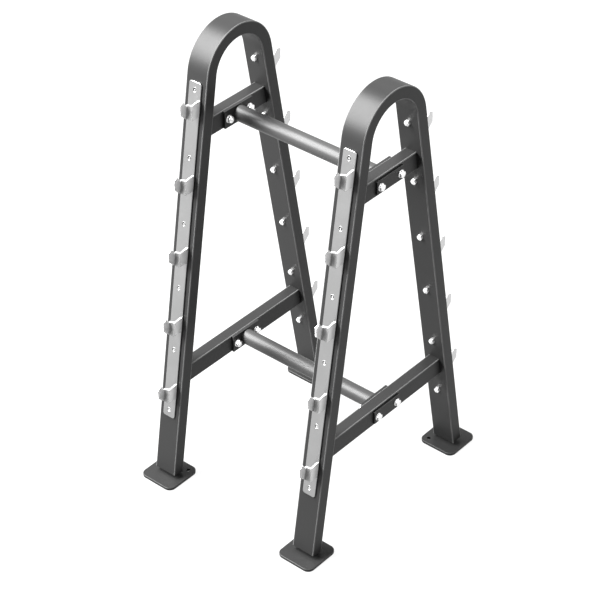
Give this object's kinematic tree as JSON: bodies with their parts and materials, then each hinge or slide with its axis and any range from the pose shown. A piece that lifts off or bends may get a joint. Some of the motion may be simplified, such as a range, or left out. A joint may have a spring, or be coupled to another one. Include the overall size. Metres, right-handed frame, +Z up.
{
  "type": "barbell storage rack",
  "caption": "Free-standing steel rack: two arched tube frames tied by round tubes, with joggled hook tabs on the legs that store barbells one above the other on both sides.",
  "frame": {"origin": "on the floor under the middle of the rack", "axes": "+Z up, +X from the left frame to the right frame along the stored bars, +Y from the front legs to the back legs"},
  "size_m": [0.7, 0.8248, 1.47],
  "materials": {
    "arch_coat": "satin charcoal powder coat",
    "crossbar_coat": "satin charcoal powder coat",
    "plate_coat": "satin charcoal powder coat",
    "tie_coat": "satin charcoal powder coat",
    "strip_steel": "satin, bright edges",
    "fastener_zinc": "bright zinc plate"
  },
  "bodies": {
    "root": {"left_arch_tube": "arch_coat", "left_back_base_plate": "plate_coat", "left_back_hook_strip": "strip_steel", "left_back_strip_screw_1": "fastener_zinc", "left_back_strip_screw_2": "fastener_zinc", "left_back_strip_screw_3": "fastener_zinc", "left_back_strip_screw_4": "fastener_zinc", "left_back_strip_screw_5": "fastener_zinc", "left_back_strip_screw_6": "fastener_zinc", "left_front_base_plate": "plate_coat", "left_front_hook_strip": "strip_steel", "left_front_strip_screw_1": "fastener_zinc", "left_front_strip_screw_2": "fastener_zinc", "left_front_strip_screw_3": "fastener_zinc", "left_front_strip_screw_4": "fastener_zinc", "left_front_strip_screw_5": "fastener_zinc", "left_front_strip_screw_6": "fastener_zinc", "left_lower_back_tie_bolt": "fastener_zinc", "left_lower_backing_plate": "tie_coat", "left_lower_crossbar": "crossbar_coat", "left_lower_front_tie_bolt": "fastener_zinc", "left_lower_tie_flange": "tie_coat", "left_upper_back_tie_bolt": "fastener_zinc", "left_upper_backing_plate": "tie_coat", "left_upper_crossbar": "crossbar_coat", "left_upper_front_tie_bolt": "fastener_zinc", "left_upper_tie_flange": "tie_coat", "lower_tie_tube": "tie_coat", "right_arch_tube": "arch_coat", "right_back_base_plate": "plate_coat", "right_back_hook_strip": "strip_steel", "right_back_strip_screw_1": "fastener_zinc", "right_back_strip_screw_2": "fastener_zinc", "right_back_strip_screw_3": "fastener_zinc", "right_back_strip_screw_4": "fastener_zinc", "right_back_strip_screw_5": "fastener_zinc", "right_back_strip_screw_6": "fastener_zinc", "right_front_base_plate": "plate_coat", "right_front_hook_strip": "strip_steel", "right_front_strip_screw_1": "fastener_zinc", "right_front_strip_screw_2": "fastener_zinc", "right_front_strip_screw_3": "fastener_zinc", "right_front_strip_screw_4": "fastener_zinc", "right_front_strip_screw_5": "fastener_zinc", "right_front_strip_screw_6": "fastener_zinc", "right_lower_back_tie_bolt": "fastener_zinc", "right_lower_backing_plate": "tie_coat", "right_lower_crossbar": "crossbar_coat", "right_lower_front_tie_bolt": "fastener_zinc", "right_lower_tie_flange": "tie_coat", "right_upper_back_tie_bolt": "fastener_zinc", "right_upper_backing_plate": "tie_coat", "right_upper_crossbar": "crossbar_coat", "right_upper_front_tie_bolt": "fastener_zinc", "right_upper_tie_flange": "tie_coat", "upper_tie_tube": "tie_coat"}
  },
  "joints": []
}
